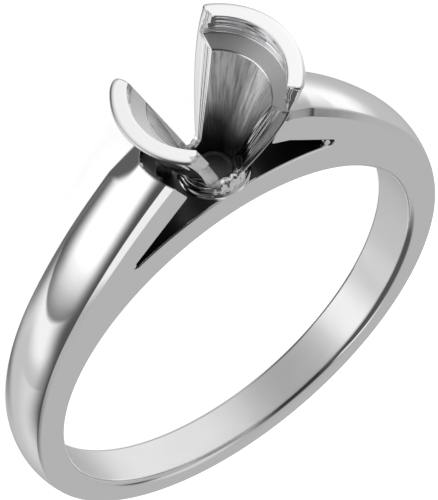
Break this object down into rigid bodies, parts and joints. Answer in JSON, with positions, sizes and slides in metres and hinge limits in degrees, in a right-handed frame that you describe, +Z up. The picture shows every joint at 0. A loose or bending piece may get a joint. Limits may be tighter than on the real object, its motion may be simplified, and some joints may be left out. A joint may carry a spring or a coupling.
{
  "type": "solitaire engagement ring",
  "caption": "Ring with a half-round band that tapers to its foot, split shoulders over an arched bridge, and an empty half-bezel setting for one round stone.",
  "frame": {"origin": "centre of the finger hole, half way between the band's side faces", "axes": "The ring lies on its side as on a table: +Z up, out through the finger hole's upper mouth, and the finger's axis leans 4.6 degrees from it; +Y from the finger towards the setting; +X across the shoulders"},
  "size_m": [0.0194, 0.0243, 0.0057],
  "materials": {
    "polished_metal": "polished white gold"
  },
  "bodies": {
    "root": {"ring": "polished_metal"}
  },
  "joints": []
}
